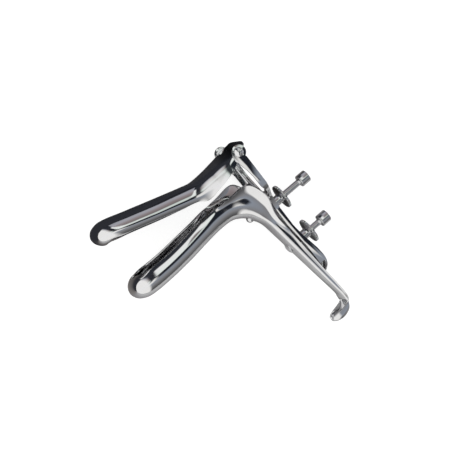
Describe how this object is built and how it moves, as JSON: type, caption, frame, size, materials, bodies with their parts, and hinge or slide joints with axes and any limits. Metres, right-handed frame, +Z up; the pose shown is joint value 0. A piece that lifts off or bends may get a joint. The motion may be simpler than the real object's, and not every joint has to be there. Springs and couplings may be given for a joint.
{
  "type": "bivalve speculum",
  "caption": "Polished steel bivalve speculum with a sliding yoke, a hinged upper blade and locking thumb nuts.",
  "frame": {"origin": "on the resting plane, under the middle of the instrument's bounding box; the instrument lies on its side", "axes": "+X along the lower blade towards its tip, +Y down the handle towards the hook, +Z up, across the blades"},
  "size_m": [0.1584, 0.1712, 0.051],
  "materials": {
    "polished_sheet": "mirror polish",
    "polished_bar": "turned and polished",
    "knurled_bar": "turned, polished, knurled rim",
    "brushed_strip": "fine satin"
  },
  "bodies": {
    "handle": {"lower_blade": "polished_sheet", "lock_stud": "polished_bar", "lock_stop": "polished_bar", "guide_pin": "polished_bar", "guide_washer": "polished_bar"},
    "slide": {"yoke": "polished_sheet", "hinge_screws": "polished_bar", "angle_stud": "polished_bar", "angle_stop": "polished_bar"},
    "top": {"upper_blade": "polished_sheet", "thumb_lever": "brushed_strip", "lever_rivets": "polished_bar"},
    "angle_ring": {"angle_washer": "polished_bar"},
    "angle_knob": {"angle_nut": "knurled_bar"},
    "lock_ring": {"lock_washer": "polished_bar"},
    "lock_knob": {"lock_nut": "knurled_bar"}
  },
  "joints": [
    {"name": "yoke_slide", "type": "slide", "parent": "handle", "child": "slide", "axis": [0, -1, 0], "range_m": [0, 0.013]},
    {"name": "blade_hinge", "type": "hinge", "parent": "slide", "child": "top", "pos_m": [-0.04072, -0.064, 0.02549], "axis": [0, 0, 1], "range_deg": [0, 12]},
    {"name": "angle_travel", "type": "slide", "parent": "slide", "child": "angle_ring", "axis": [-1, 0, 0], "range_m": [0, 0.01196]},
    {"name": "angle_spin", "type": "hinge", "parent": "angle_ring", "child": "angle_knob", "pos_m": [-0.05072, -0.0127, 0.01649], "axis": [-1, 0, 0], "range_deg": [0, 4305.6]},
    {"name": "lock_travel", "type": "slide", "parent": "handle", "child": "lock_ring", "axis": [-1, 0, 0], "range_m": [0, 0.006]},
    {"name": "lock_spin", "type": "hinge", "parent": "lock_ring", "child": "lock_knob", "pos_m": [-0.05072, 0.0182, 0.02549], "axis": [-1, 0, 0], "range_deg": [0, 2160]}
  ],
  "couplings": [
    {"joint": "angle_travel", "follows": "angle_spin", "m_per_rad": 0.00015915},
    {"joint": "blade_hinge", "follows": "angle_spin", "ratio": 0.0027871},
    {"joint": "lock_travel", "follows": "lock_spin", "m_per_rad": 0.00015915}
  ]
}
